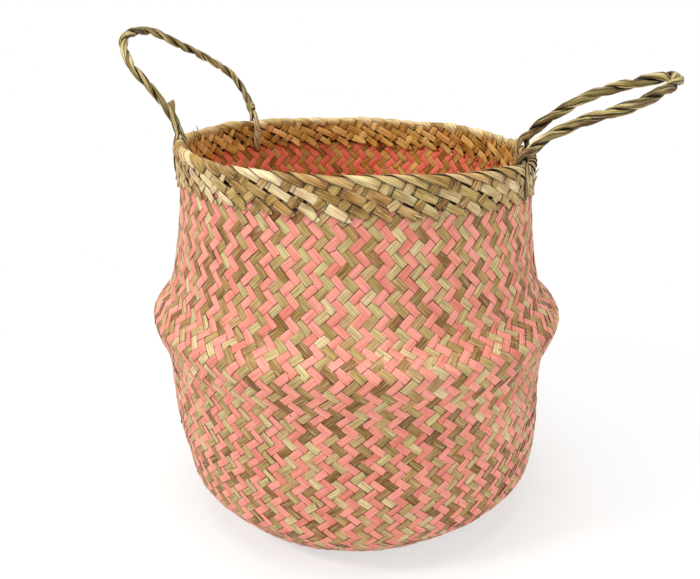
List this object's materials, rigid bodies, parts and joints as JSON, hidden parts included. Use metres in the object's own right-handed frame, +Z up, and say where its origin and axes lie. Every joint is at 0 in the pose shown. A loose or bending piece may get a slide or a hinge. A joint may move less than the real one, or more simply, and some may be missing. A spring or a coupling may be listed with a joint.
{
  "type": "woven belly basket with two handles",
  "caption": "Round belly basket woven from seagrass strips in a zig-zag, with a folded waist, a banded rim and rope handles.",
  "frame": {"origin": "centre of the flat face that the basket stands on", "axes": "+Z up through the mouth, +X to the basket's right side as the picture shows it, +Y to its back"},
  "size_m": [0.4102, 0.334, 0.3875],
  "materials": {
    "painted_strip": "matt paint on dried seagrass",
    "natural_strip": "bare dried seagrass",
    "rope": "bare twisted seagrass"
  },
  "bodies": {
    "basket_base": {"base_mat": "natural_strip", "lower_wall": "painted_strip", "shoulder_fold": "painted_strip"},
    "neck": {"neck_wall": "painted_strip", "rim_outer_band": "natural_strip", "rim_inner_band": "natural_strip", "rim_border": "natural_strip", "left_front_foot_outer": "rope", "left_front_foot_inner": "rope", "left_rear_foot_outer": "rope", "left_rear_foot_inner": "rope", "right_front_foot_outer": "rope", "right_front_foot_inner": "rope", "right_rear_foot_outer": "rope", "right_rear_foot_inner": "rope"},
    "left_handle": {"left_handle_ply_a": "rope", "left_handle_ply_b": "rope", "left_rear_knot": "rope"},
    "right_handle": {"right_handle_ply_a": "rope", "right_handle_ply_b": "rope"}
  },
  "joints": [
    {"name": "neck_fold", "type": "slide", "parent": "basket_base", "child": "neck", "axis": [0, 0, 1], "range_m": [-0.06, 0], "deforming": ["shoulder_fold"]},
    {"name": "left_handle_swing", "type": "hinge", "parent": "neck", "child": "left_handle", "pos_m": [-0.11457, 0.03945, 0.30908], "axis": [0.3254, 0.9449, 0.035], "range_deg": [-52, 115]},
    {"name": "right_handle_swing", "type": "hinge", "parent": "neck", "child": "right_handle", "pos_m": [0.12529, -0.02893, 0.29684], "axis": [-0.2249, -0.9739, -0.0306], "range_deg": [-25, 135]}
  ]
}
